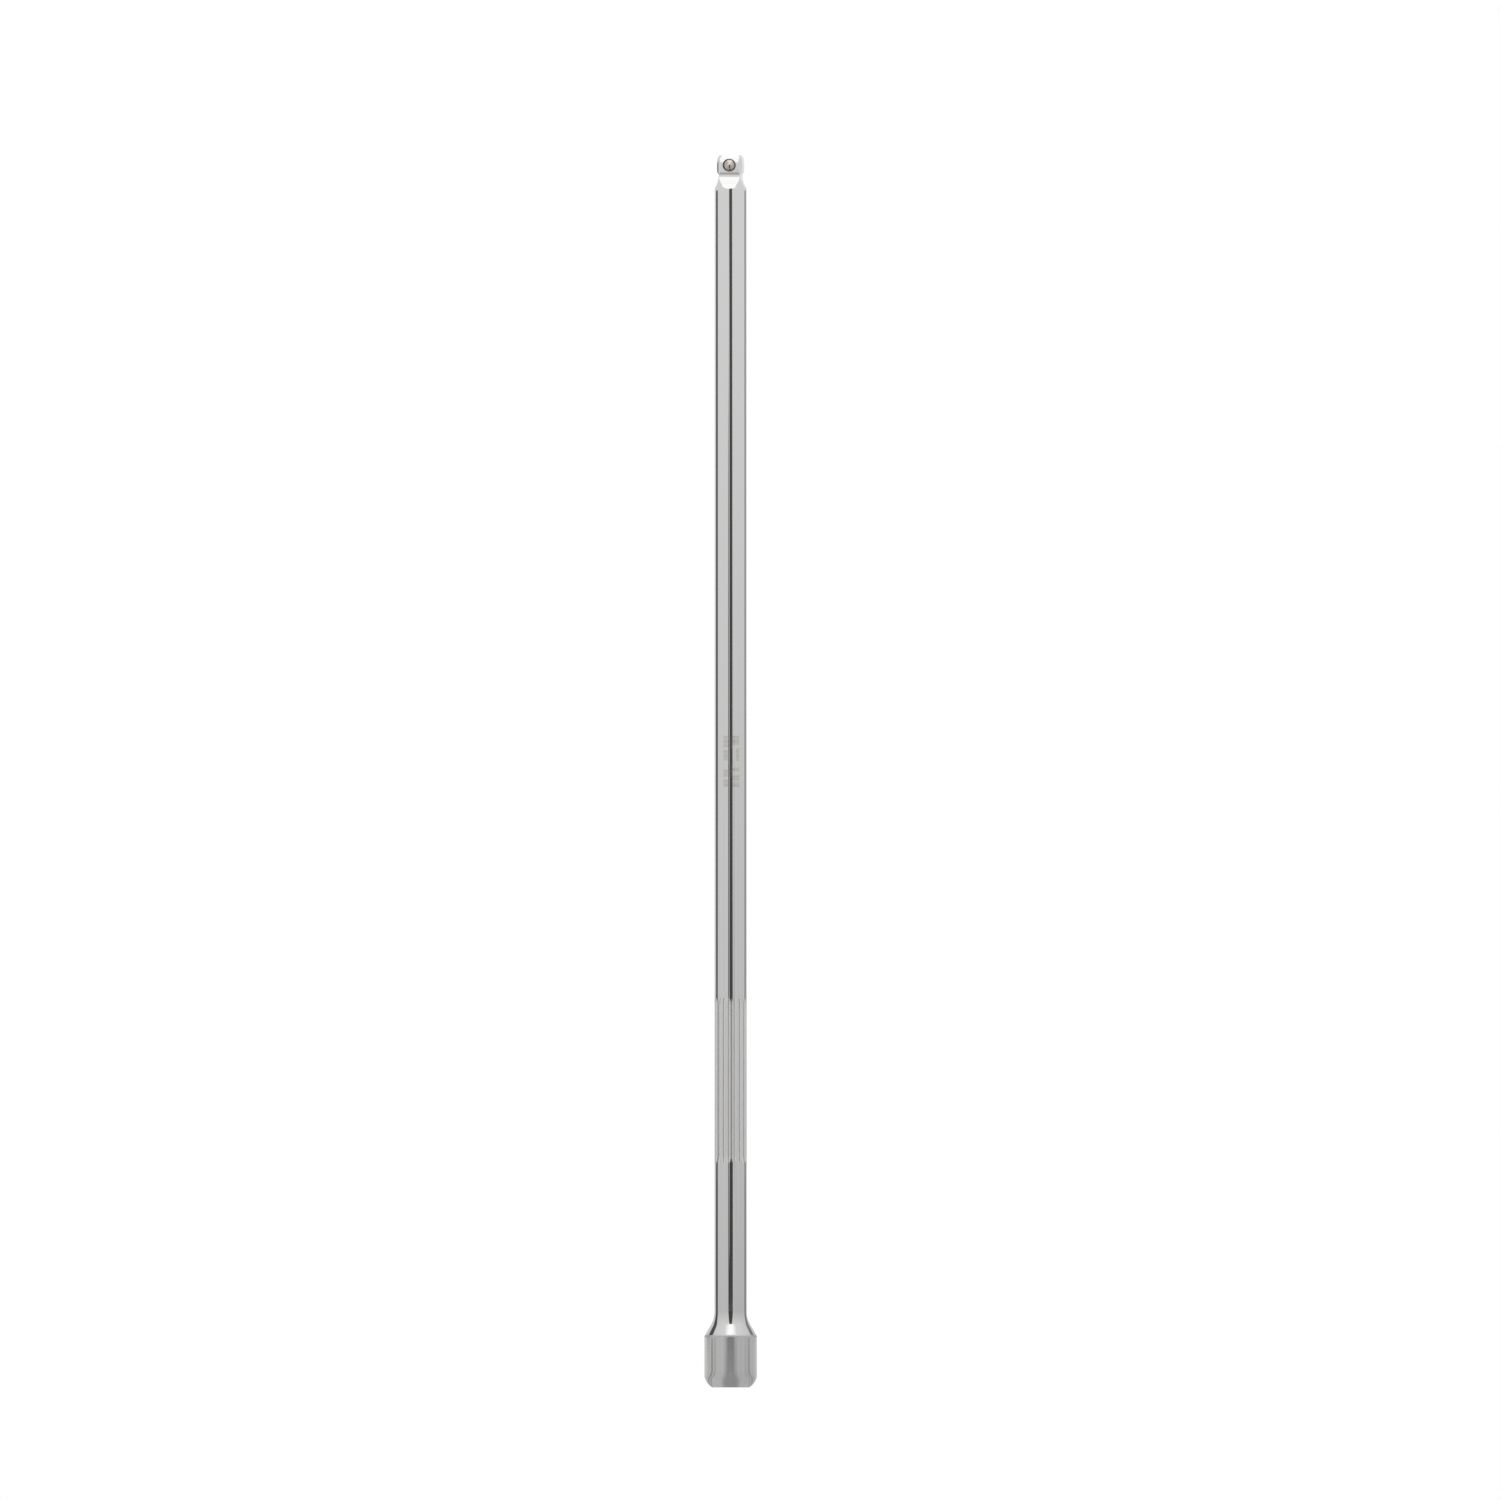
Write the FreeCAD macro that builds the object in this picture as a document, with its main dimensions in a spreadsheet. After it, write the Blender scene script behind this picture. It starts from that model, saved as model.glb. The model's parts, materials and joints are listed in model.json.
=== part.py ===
# Wobble extension bar, 1/4 inch square drive, 12 inches long.
# Millimetres. The bar stands on its socket mouth at z = 0 and its drive tang points up, +Z.
# The detent ball looks out of the tang's front side, -Y.
import FreeCAD, Part
import os
import Sketcher

doc = FreeCAD.newDocument("extension_bar_model")

# ------------------------------------------------------------ driving dimensions
sheet = doc.addObject("Spreadsheet::Sheet", "sheet")
sizes = [
    ("overall_length", 304.8, "socket mouth to the tip of the tang"),
    ("shank_diameter", 7.94, "round stock, 5/16 inch"),
    ("cut_overrun", 0.3, "cuts start this far outside the bar"),
    # socket end
    ("socket_diameter", 13.0, "outside of the socket end"),
    ("socket_length", 12.65, "mouth to the start of the shoulder"),
    ("mouth_ring_width", 1.35, "flat ring of the mouth, beyond a side of the square"),
    ("mouth_edge_height", 2.7, "height of the rounded outer edge of the mouth"),
    ("mouth_edge_radius", 3.9, "radius of that edge"),
    ("neck_length", 4.4, "shoulder to the plain shank"),
    ("shoulder_round", 0.7, "convex radius at the top of the socket end"),
    ("neck_fillet", 6.5, "hollow radius where the neck meets the shank"),
    # square drive hole in the socket end
    ("square_hole", 6.4, "across the flats of the drive hole"),
    ("square_hole_depth", 8.6, "broached depth"),
    ("square_hole_corner", 0.5, "corner radius of the hole"),
    ("pilot_relief", 0.07, "drilled hole outside the flats, each side"),
    ("pilot_extra", 1.3, "drilled past the broached depth"),
    ("pilot_point", 1.9, "height of the drill point"),
    ("lead_in_width", 0.9, "countersink of the mouth, beyond a side of the square"),
    ("lead_in_depth", 0.75, "depth of the countersink"),
    ("catch_groove_width", 1.9, "ring groove that a detent ball drops into"),
    ("catch_groove_depth", 0.55, "depth of that groove below the flats"),
    # fluted grip
    ("grip_height", 55.4, "mouth to the lower end of the flutes"),
    ("grip_length", 41.1, "length of the flutes"),
    ("flute_count", 20, "flutes round the bar"),
    ("flute_depth", 0.26, "bottom of a flute below the shank"),
    ("flute_bottom_radius", 0.62, "round bottom of a flute"),
    ("flute_runout", 2.2, "length over which a flute fades in"),
    # drive tang
    ("tang_length", 7.2, "tip to the round shank"),
    ("tang_width", 6.3, "across the flats at the crown, the widest place"),
    ("corner_relief", 0.15, "corners of the square below the shank's surface"),
    ("corner_bevel", 0.7, "bevel of the corners at the tip"),
    ("tip_round_depth", 0.62, "rounded end of a flat, inwards"),
    ("tip_round_length", 1.1, "rounded end of a flat, along the bar"),
    ("tip_round_radius", 1.6, "radius of that end"),
    ("crown_drop", 2.6, "tip down to the crown"),
    ("crown_fall_up", 0.12, "barrel shape: a flat falls this much towards the tip"),
    ("crown_fall_down", 0.1, "and this much towards the waist"),
    ("head_length", 4.2, "tip down to the end of the head"),
    ("waist_drop", 4.75, "tip down to the waist, the narrowest place"),
    ("waist_depth", 0.49, "waist below the crown, on a flat"),
    ("waist_relief", 0.25, "waist below the shank's surface, on a corner"),
    ("flare_radius", 5.3, "hollow curve from the waist out to the shank"),
    ("nose_length", 1.4, "rounded end of the shank"),
    ("nose_radius", 4.1, "radius of that end"),
    # detent
    ("ball_diameter", 3.0, "detent ball"),
    ("ball_drop", 2.4, "tip down to the middle of the ball"),
    ("ball_proud", 0.75, "ball standing out of the crown"),
    ("ball_clearance", 0.03, "ball to its bore and its lip"),
    ("bore_floor_wall", 1.0, "wall between the bore and the far flat"),
    ("stake_width", 0.12, "staked ring round the mouth of the bore, beyond the bore"),
    ("stake_depth", 0.3, "depth of that ring below the crown"),
    ("spring_wire", 0.35, "wire of the spring"),
    ("spring_turns", 5, "turns of the spring"),
    ("spring_side_clearance", 0.18, "spring to the wall of the bore"),
    ("spring_end_clearance", 0.02, "spring to the ball and to the floor of the bore"),
]
for row, (alias, value, note) in enumerate(sizes, start=1):
    sheet.set("A%d" % row, alias)
    sheet.set("B%d" % row, str(value))
    sheet.setAlias("B%d" % row, alias)
    sheet.set("C%d" % row, note)
doc.recompute()


# ------------------------------------------------------------ helpers
def value_of(expression):
    """Value of an expression on the sheet, for the first drawing of a shape."""
    return float(sheet.evalExpression(expression.replace("sheet.", "")))


def run_of_arc(radius, rise):
    """Run, along its tangent, of an arc that has left the tangent by rise."""
    return "sqrt(2 * {0} * {1} - {1} * {1})".format(radius, rise)


def radius_of_arc(rise, run):
    """Radius of an arc that leaves its tangent by rise over run."""
    return "(({0}) * ({0}) + ({1}) * ({1})) / (2 * ({0}))".format(rise, run)


def new_body(label):
    body = doc.addObject("PartDesign::Body", label)
    body.Label = label
    return body


def new_sketch(body, name, role):
    """Sketch on one of the body's own origin planes."""
    plane = [f for f in body.Origin.OriginFeatures if f.Role == role][0]
    sketch = body.newObject("Sketcher::SketchObject", name)
    sketch.AttachmentSupport = [(plane, "")]
    sketch.MapMode = "FlatFace"
    doc.recompute()
    return sketch


def hold(sketch, kind, edge, end, expression):
    """Hold one coordinate of a point at an expression."""
    value = value_of(expression)
    if abs(value) < 1e-9:
        axis = -2 if kind == "DistanceX" else -1
        sketch.addConstraint(Sketcher.Constraint("PointOnObject", edge, end, axis))
    elif value > 0:
        row = sketch.addConstraint(Sketcher.Constraint(kind, -1, 1, edge, end, value))
        sketch.setExpression("Constraints[%d]" % row, expression)
    else:
        row = sketch.addConstraint(Sketcher.Constraint(kind, edge, end, -1, 1, -value))
        sketch.setExpression("Constraints[%d]" % row, "-1 * (%s)" % expression)


def add_arc(sketch, start, end, radius, side):
    """Arc from start to end that bulges to the left or the right of the way it runs."""
    along = end - start
    outward = FreeCAD.Vector(-along.y, along.x, 0).normalize()
    if side == "right":
        outward = outward * -1
    bulge = value_of(radius) - (value_of(radius) ** 2 - (along.Length / 2) ** 2) ** 0.5
    middle = (start + end) * 0.5 + outward * bulge
    edge = sketch.addGeometry(Part.Arc(start, middle, end), False)
    row = sketch.addConstraint(Sketcher.Constraint("Radius", edge, value_of(radius)))
    sketch.setExpression("Constraints[%d]" % row, radius)
    runs_forward = (sketch.getPoint(edge, 1) - start).Length < 1e-6
    return (edge, 1, 2) if runs_forward else (edge, 2, 1)


def outline(sketch, corners):
    """Closed outline through corners, each given as (across, up).

    A corner given as (across, up, radius, side) is left by an arc instead of a line.
    """
    points = [FreeCAD.Vector(value_of(corner[0]), value_of(corner[1]), 0) for corner in corners]
    edges = []
    for corner, start, end in zip(corners, points, points[1:] + points[:1]):
        if len(corner) == 4:
            edges.append(add_arc(sketch, start, end, corner[2], corner[3]))
        else:
            edges.append((sketch.addGeometry(Part.LineSegment(start, end), False), 1, 2))
    for corner, here, after in zip(corners, edges, edges[1:] + edges[:1]):
        sketch.addConstraint(Sketcher.Constraint("Coincident", here[0], here[2], after[0], after[1]))
        hold(sketch, "DistanceX", here[0], here[1], corner[0])
        hold(sketch, "DistanceY", here[0], here[1], corner[1])
    doc.recompute()


def add_feature(body, kind, name, **settings):
    """Add a feature as the body's new tip; a cut has to make the body smaller."""
    before = body.Shape.Volume if body.Tip else 0
    feature = body.newObject(kind, name)
    for setting, value in settings.items():
        setattr(feature, setting, value)
    body.Tip = feature
    doc.recompute()
    cuts = kind in ("PartDesign::Pocket", "PartDesign::Groove")
    if cuts and not body.Shape.Volume < before - 0.01:
        raise RuntimeError(name + " cuts nothing")
    return feature


def turn(body, kind, name, sketch, axis):
    """Revolution or Groove: a full turn of the sketch about its axis."""
    return add_feature(body, kind, name, Profile=sketch, ReferenceAxis=(sketch, [axis]), Angle=360)


def repeat(body, name, original, sketch, count):
    """Repeat a cut round the bar's own axis."""
    pattern = add_feature(body, "PartDesign::PolarPattern", name, Originals=[original],
                          Axis=(sketch, ["V_Axis"]), Angle=360)
    pattern.setExpression("Occurrences", count)
    doc.recompute()


def round_edge(body, name, edge_radius, edge_height, rounding):
    """Fillet the round edge about the bar's axis that has this radius and height."""
    names = []
    for number, edge in enumerate(body.Tip.Shape.Edges, start=1):
        curve = edge.Curve
        if not isinstance(curve, Part.Circle):
            continue
        same_radius = abs(curve.Radius - value_of(edge_radius)) < 1e-4
        if same_radius and abs(curve.Center.z - value_of(edge_height)) < 1e-4:
            names.append("Edge%d" % number)
    if len(names) != 1:
        raise RuntimeError(name + " finds %d edges" % len(names))
    fillet = add_feature(body, "PartDesign::Fillet", name, Base=(body.Tip, names))
    fillet.setExpression("Radius", rounding)
    doc.recompute()


# ------------------------------------------------------------ places used by several features
tip = "sheet.overall_length"
shank_radius = "sheet.shank_diameter / 2"
socket_radius = "sheet.socket_diameter / 2"
crown = "sheet.tang_width / 2"
square_side = "sheet.square_hole / 2"
bore_radius = "(sheet.ball_diameter / 2 + sheet.ball_clearance)"
ball_sunk = "(sheet.ball_diameter / 2 - sheet.ball_proud)"
ball_height = tip + " - sheet.ball_drop"
bore_floor = crown + " - sheet.bore_floor_wall"


# ------------------------------------------------------------ extension bar, one forging
bar = new_body("extension_bar")

mouth_ring_radius = square_side + " + sheet.mouth_ring_width"
neck_end = "sheet.socket_length + sheet.neck_length"
tang_root = tip + " - sheet.tang_length"
waist_corner = shank_radius + " - sheet.waist_relief"
head_corner = shank_radius + " - sheet.corner_relief"

blank_profile = new_sketch(bar, "blank_profile", "XZ_Plane")
outline(blank_profile, [
    ("0", "0"),
    (mouth_ring_radius, "0", "sheet.mouth_edge_radius", "right"),
    (socket_radius, "sheet.mouth_edge_height"),
    (socket_radius, "sheet.socket_length"),
    (shank_radius, neck_end),
    (shank_radius, tang_root + " - sheet.nose_length", "sheet.nose_radius", "right"),
    (waist_corner, tang_root),
    (waist_corner, tip + " - sheet.waist_drop"),
    (head_corner, tip + " - sheet.head_length"),
    (head_corner, tip + " - sheet.corner_bevel"),
    (head_corner + " - sheet.corner_bevel", tip),
    ("0", tip),
])
turn(bar, "PartDesign::Revolution", "blank", blank_profile, "V_Axis")
round_edge(bar, "shoulder_rounding", socket_radius, "sheet.socket_length", "sheet.shoulder_round")
round_edge(bar, "neck_rounding", shank_radius, neck_end, "sheet.neck_fillet")

# One side of the tang, cut straight through along Y: from the shank the flat runs hollow up
# to the waist, steps out to the head, and is barrel-shaped to its rounded end at the tip.
side_clear = shank_radius + " + sheet.cut_overrun"
flare_rise = "(" + side_clear + " - (" + crown + " - sheet.waist_depth))"
flare_start = tip + " - sheet.waist_drop - " + run_of_arc("sheet.flare_radius", flare_rise)
barrel_up = radius_of_arc("sheet.crown_fall_up", "sheet.crown_drop - sheet.tip_round_length")
barrel_down = radius_of_arc("sheet.crown_fall_down", "sheet.head_length - sheet.crown_drop")

side_profile = new_sketch(bar, "tang_side_profile", "XZ_Plane")
outline(side_profile, [
    (side_clear, flare_start, "sheet.flare_radius", "left"),
    (crown + " - sheet.waist_depth", tip + " - sheet.waist_drop"),
    (crown + " - sheet.crown_fall_down", tip + " - sheet.head_length", barrel_down, "right"),
    (crown, tip + " - sheet.crown_drop", barrel_up, "right"),
    (crown + " - sheet.crown_fall_up", tip + " - sheet.tip_round_length",
     "sheet.tip_round_radius", "right"),
    (crown + " - sheet.tip_round_depth", tip),
    (side_clear, tip),
])
tang_side = add_feature(bar, "PartDesign::Pocket", "tang_side", Profile=side_profile,
                        Type="ThroughAll", SideType="Symmetric")
repeat(bar, "tang_sides", tang_side, side_profile, "4")

# Square drive hole: drilled, broached, countersunk and grooved for a detent ball.
pilot_radius = square_side + " + sheet.pilot_relief"
pilot_end = "sheet.square_hole_depth + sheet.pilot_extra"
pilot_profile = new_sketch(bar, "pilot_profile", "XZ_Plane")
outline(pilot_profile, [
    ("0", "0"),
    (square_side + " + sheet.lead_in_width", "0"),
    (pilot_radius, "sheet.lead_in_depth"),
    (pilot_radius, pilot_end),
    ("0", pilot_end + " + sheet.pilot_point"),
])
turn(bar, "PartDesign::Groove", "pilot_hole", pilot_profile, "V_Axis")

corner_line = square_side + " - sheet.square_hole_corner"
square_profile = new_sketch(bar, "square_profile", "XY_Plane")
outline(square_profile, [
    (square_side, "-1 * (" + corner_line + ")"),
    (square_side, corner_line, "sheet.square_hole_corner", "right"),
    (corner_line, square_side),
    ("-1 * (" + corner_line + ")", square_side, "sheet.square_hole_corner", "right"),
    ("-1 * (" + square_side + ")", corner_line),
    ("-1 * (" + square_side + ")", "-1 * (" + corner_line + ")",
     "sheet.square_hole_corner", "right"),
    ("-1 * (" + corner_line + ")", "-1 * (" + square_side + ")"),
    (corner_line, "-1 * (" + square_side + ")", "sheet.square_hole_corner", "right"),
])
broach = add_feature(bar, "PartDesign::Pocket", "square_hole", Profile=square_profile,
                     Type="Length", Reversed=True)
broach.setExpression("Length", "sheet.square_hole_depth")
doc.recompute()

# The groove lies where the ball of another such bar comes to rest.
catch_height = "sheet.tang_length - sheet.ball_drop"
catch_radius = square_side + " + sheet.catch_groove_depth"
catch_half = "sheet.catch_groove_width / 2"
catch_profile = new_sketch(bar, "catch_profile", "XZ_Plane")
outline(catch_profile, [
    ("0", catch_height + " - " + catch_half + " - sheet.catch_groove_depth"),
    (square_side, catch_height + " - " + catch_half),
    (catch_radius, catch_height + " - " + catch_half + " + sheet.catch_groove_depth"),
    (catch_radius, catch_height + " + " + catch_half + " - sheet.catch_groove_depth"),
    (square_side, catch_height + " + " + catch_half),
    ("0", catch_height + " + " + catch_half + " + sheet.catch_groove_depth"),
])
turn(bar, "PartDesign::Groove", "catch_groove", catch_profile, "V_Axis")

# One flute, turned about a line outside the bar, then repeated round it.
flute_bottom = shank_radius + " - sheet.flute_depth"
flute_line = flute_bottom + " + sheet.flute_bottom_radius"
flute_end = flute_bottom + " + sheet.flute_depth + sheet.cut_overrun / 2"
fade_radius = "(" + radius_of_arc("sheet.flute_depth", "sheet.flute_runout") + ")"
fade_run = run_of_arc(fade_radius, "(sheet.flute_depth + sheet.cut_overrun / 2)")
flute_low = "sheet.grip_height + sheet.flute_runout"
flute_high = "sheet.grip_height + sheet.grip_length - sheet.flute_runout"
flute_profile = new_sketch(bar, "flute_profile", "YZ_Plane")
outline(flute_profile, [
    (flute_line, flute_low + " - " + fade_run),
    (flute_line, flute_high + " + " + fade_run),
    (flute_end, flute_high + " + " + fade_run, fade_radius, "right"),
    (flute_bottom, flute_high),
    (flute_bottom, flute_low, fade_radius, "right"),
    (flute_end, flute_low + " - " + fade_run),
])
flute = turn(bar, "PartDesign::Groove", "flute", flute_profile, "Edge1")
repeat(bar, "flutes", flute, flute_profile, "sheet.flute_count")

# Blind bore for the ball: its lip follows the ball, inside a shallow staked ring.
lip_sunk = ball_sunk + " - sheet.stake_depth"
lip_radius = "sqrt(" + bore_radius + " ^ 2 - (" + lip_sunk + ") ^ 2)"
stake_radius = bore_radius + " + sheet.stake_width"
bore_profile = new_sketch(bar, "bore_profile", "YZ_Plane")
outline(bore_profile, [
    (bore_floor, ball_height),
    ("-1 * (" + crown + " + sheet.cut_overrun)", ball_height),
    ("-1 * (" + crown + " + sheet.cut_overrun)", ball_height + " + " + stake_radius),
    ("-1 * (" + crown + ")", ball_height + " + " + stake_radius),
    ("-1 * (" + crown + " - sheet.stake_depth)", ball_height + " + " + lip_radius,
     bore_radius, "left"),
    ("-1 * (" + crown + " - " + ball_sunk + ")", ball_height + " + " + bore_radius),
    (bore_floor, ball_height + " + " + bore_radius),
])
turn(bar, "PartDesign::Groove", "ball_bore", bore_profile, "Edge1")


# ------------------------------------------------------------ detent ball
ball = doc.addObject("Part::Sphere", "detent_ball")
ball.Label = "detent_ball"
ball.setExpression("Radius", "sheet.ball_diameter / 2")
ball.setExpression("Placement.Base.y", "-1 * (" + crown + " - " + ball_sunk + ")")
ball.setExpression("Placement.Base.z", ball_height)


# ------------------------------------------------------------ detent spring
# The coil is built standing on the floor of the bore, then laid over to push along -Y.
spring = new_body("detent_spring")

wire_radius = "sheet.spring_wire / 2"
coil_radius = bore_radius + " - sheet.spring_side_clearance - " + wire_radius
coil_start = "sheet.spring_end_clearance + " + wire_radius
floor_to_ball = "(" + bore_floor + " + " + crown + " - " + ball_sunk + ")"
touch = "(sheet.ball_diameter / 2 + " + wire_radius + " + sheet.spring_end_clearance)"
last_turn = "sqrt(" + touch + " ^ 2 - (" + coil_radius + ") ^ 2)"

wire_section = new_sketch(spring, "wire_section", "XZ_Plane")
circle = Part.Circle(FreeCAD.Vector(value_of(coil_radius), value_of(coil_start), 0),
                     FreeCAD.Vector(0, 0, 1), value_of(wire_radius))
wire_section.addGeometry(circle, False)
row = wire_section.addConstraint(Sketcher.Constraint("Radius", 0, value_of(wire_radius)))
wire_section.setExpression("Constraints[%d]" % row, wire_radius)
hold(wire_section, "DistanceX", 0, 3, coil_radius)
hold(wire_section, "DistanceY", 0, 3, coil_start)
doc.recompute()

coil = add_feature(spring, "PartDesign::AdditiveHelix", "coil", Profile=wire_section,
                   ReferenceAxis=(wire_section, ["V_Axis"]), Mode="height-turns-angle")
coil.setExpression("Turns", "sheet.spring_turns")
coil.setExpression("Height", floor_to_ball + " - " + last_turn + " - (" + coil_start + ")")
spring.Placement = FreeCAD.Placement(FreeCAD.Vector(0, 0, 0),
                                     FreeCAD.Rotation(FreeCAD.Vector(1, 0, 0), 90))
spring.setExpression("Placement.Base.y", bore_floor)
spring.setExpression("Placement.Base.z", ball_height)
doc.recompute()


# ------------------------------------------------------------ checks and files
for item in doc.Objects:
    if "Invalid" in item.State or "Error" in item.State:
        raise RuntimeError(item.Name + " failed: " + str(item.State))

pieces = [bar, ball, spring]
for piece in pieces:
    if piece.Shape.isNull() or not piece.Shape.isValid() or len(piece.Shape.Solids) != 1:
        raise RuntimeError(piece.Label + " is not one valid solid")

os.makedirs("parts", exist_ok=True)
for piece in pieces:
    piece.Shape.exportStep("parts/" + piece.Label + ".step")
    box = piece.Shape.BoundBox
    print("%-14s volume %9.2f mm3  x %.2f to %.2f  y %.2f to %.2f  z %.2f to %.2f" % (
        piece.Label, piece.Shape.Volume, box.XMin, box.XMax,
        box.YMin, box.YMax, box.ZMin, box.ZMax))
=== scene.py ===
import json
import math

import bmesh
import bpy
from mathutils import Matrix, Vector


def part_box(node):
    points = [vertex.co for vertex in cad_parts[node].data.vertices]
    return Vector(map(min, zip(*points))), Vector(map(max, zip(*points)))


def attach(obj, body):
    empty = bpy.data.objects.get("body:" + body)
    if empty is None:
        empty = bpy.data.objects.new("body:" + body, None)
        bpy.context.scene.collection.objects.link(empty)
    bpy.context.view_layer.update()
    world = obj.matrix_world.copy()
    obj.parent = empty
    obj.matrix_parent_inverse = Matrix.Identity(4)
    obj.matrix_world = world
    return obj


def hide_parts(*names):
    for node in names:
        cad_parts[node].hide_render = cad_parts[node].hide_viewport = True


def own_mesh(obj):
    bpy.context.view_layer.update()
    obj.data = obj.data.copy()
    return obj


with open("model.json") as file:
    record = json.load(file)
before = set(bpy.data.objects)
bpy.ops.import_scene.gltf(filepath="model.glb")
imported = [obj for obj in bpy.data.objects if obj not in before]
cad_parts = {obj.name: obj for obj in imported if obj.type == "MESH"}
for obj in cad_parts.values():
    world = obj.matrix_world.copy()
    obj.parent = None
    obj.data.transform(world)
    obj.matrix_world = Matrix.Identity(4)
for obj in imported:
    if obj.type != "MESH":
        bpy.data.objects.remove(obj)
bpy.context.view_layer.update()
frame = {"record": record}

mm = 0.001  # the bar's and the spring's sizes are in millimetres, the ball's and the studio's in metres

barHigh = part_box("extension_bar")[1]
ballLow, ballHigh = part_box("detent_ball")
springLow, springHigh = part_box("detent_spring")
ballCentre = (ballLow + ballHigh) / 2
shankMount = [mount for mount in frame["record"]["mounts"] if mount["name"] == "shank"][0]


def deselectAll():
    if bpy.context.object and bpy.context.object.mode != "OBJECT":
        bpy.ops.object.mode_set(mode="OBJECT")
    bpy.ops.object.select_all(action="DESELECT")


def activate(piece):
    deselectAll()
    piece.select_set(True)
    bpy.context.view_layer.objects.active = piece


def settle(piece):
    # the piece's place goes into its mesh, and its object to the origin
    activate(piece)
    bpy.ops.object.transform_apply(location=True, rotation=True, scale=True)


def applyModifier(piece, modifier):
    activate(piece)
    bpy.ops.object.modifier_apply(modifier=modifier.name)


def cutWith(piece, cutter, operation="DIFFERENCE"):
    cut = piece.modifiers.new("cut", "BOOLEAN")
    cut.operation = operation
    cut.solver = "MANIFOLD"
    cut.object = cutter
    applyModifier(piece, cut)
    bpy.data.objects.remove(cutter)


def arcTo(start, end, radius, steps):
    # profile points (height, radius) along an arc; a negative radius is a hollow
    start, end = Vector(start), Vector(end)
    along = (end - start).normalized()
    outward = Vector((-along.y, along.x)) * math.copysign(1, radius)
    spread = math.asin((end - start).length / 2 / abs(radius))
    centre = (start + end) / 2 - outward * abs(radius) * math.cos(spread)
    points = []
    for step in range(1, steps + 1):
        turn = spread * (2 * step / steps - 1)
        points.append(tuple(centre + (outward * math.cos(turn) + along * math.sin(turn)) * abs(radius)))
    return points


def roundedCorner(before, corner, after, radius, steps):
    # the same corner eased into a tangent arc
    before, corner, after = Vector(before), Vector(corner), Vector(after)
    back = (before - corner).normalized()
    ahead = (after - corner).normalized()
    reach = radius / math.tan(back.angle(ahead) / 2)
    first = corner + back * reach
    last = corner + ahead * reach
    hollow = back.x * ahead.y - back.y * ahead.x < 0
    return [tuple(first)] + arcTo(first, last, -radius if hollow else radius, steps)


def drawOut(name, start, profile, across=(1, 1)):
    # the start outline is drawn up ring by ring, and each ring is scaled to its width in the profile
    start.name = name
    bpy.ops.object.mode_set(mode="EDIT")
    bpy.ops.mesh.select_all(action="SELECT")
    height, width = profile[0]
    for nextHeight, nextWidth in profile[1:]:
        bpy.ops.mesh.extrude_region_move(
            TRANSFORM_OT_translate={"value": (0, 0, (nextHeight - height) * mm)})
        ratio = nextWidth / width
        bpy.ops.transform.resize(
            value=(ratio if across[0] else 1, ratio if across[1] else 1, 1),
            center_override=(0, 0, nextHeight * mm))
        height, width = nextHeight, nextWidth
    # a rim that is still open is closed, the lower one first
    mesh = bmesh.from_edit_mesh(start.data)
    for rimEnd in ("low", "high"):
        rims = [edge for edge in mesh.edges if edge.is_boundary]
        if not rims:
            break
        lowest = min(min(vertex.co.z for vertex in edge.verts) for edge in rims)
        bpy.ops.mesh.select_all(action="DESELECT")
        for edge in rims:
            edge.select_set(max(vertex.co.z for vertex in edge.verts) < lowest + 1e-6)
        bmesh.update_edit_mesh(start.data)
        bpy.ops.mesh.edge_face_add()
        mesh = bmesh.from_edit_mesh(start.data)
    bpy.ops.mesh.select_all(action="SELECT")
    bpy.ops.mesh.normals_make_consistent(inside=False)
    bpy.ops.object.mode_set(mode="OBJECT")
    settle(start)
    return start


def turned(name, profile, segments):
    deselectAll()
    height, radius = profile[0]
    bpy.ops.mesh.primitive_circle_add(
        vertices=segments, radius=radius * mm, location=(0, 0, height * mm))
    return drawOut(name, bpy.context.object, profile)


print("measures read from the frame")


# every height is measured up from the socket's mouth
bar = {
    "length": barHigh.z / mm,
    "socketRadius": barHigh.x / mm,
    "shankRadius": shankMount["dims"]["r_mm"],
    "segments": 288,
    "mouthRadius": 4.55,
    "mouthEdge": (2.7, 3.9),        # height and radius of the rounded edge at the mouth
    "mouthBlend": 1.3,              # the rounded edge shades into the side over this height
    "socketTop": 12.65,
    "coneTop": 17.05,
    "shoulderRounding": 0.7,
    "neckRounding": 6.5,
    "noseLow": 296.2,               # where the shank starts to narrow under the tang
    "noseHigh": 297.6,
    "noseRounding": 4.1,
    "neckRadius": 3.72,             # the corners of the square beside its waist
    "neckTop": 300.05,
    "headLow": 300.6,
    "headRadius": 3.82,             # across the rounded corners of the square
    "bevelLow": 304.1,
    "tipRadius": 3.12,
    "support": 0.35,                # plain rings that keep the long walls straight in the shading
    "sharpAngle": 24,
}

flutes = {
    "count": 20,
    "low": 55.4,
    "high": 96.5,
    "depth": 0.26,
    "cutterRadius": 0.62,
    "runOut": 2.2,
    "segments": 36,
}

drive = {
    "acrossFlats": 6.4,
    "depth": 8.6,
    "cornerRadius": 0.5,
    "pilotRadius": 3.27,
    "pilotDepth": 9.9,
    "pointDepth": 11.8,
    "leadInRadius": 4.1,
    "leadInDepth": 0.75,
    "catchRadius": 3.75,            # groove that a ball snaps into
    "catchCentre": 4.8,
    "catchFlat": 0.4,
    "segments": 96,
}

tang = {
    "flareLow": 296.25,
    "flareWidth": 4.27,             # half widths of the square, from its neck to its tip
    "flareRadius": 5.3,
    "neckWidth": 2.66,
    "headLowWidth": 3.05,
    "crownHeight": 302.2,
    "crownWidth": 3.15,
    "crownFallBelow": 12.85,
    "crownFallAbove": 9.44,
    "tipLow": 303.7,
    "tipLowWidth": 3.03,
    "tipRounding": 1.6,
    "tipWidth": 2.53,
}

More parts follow.
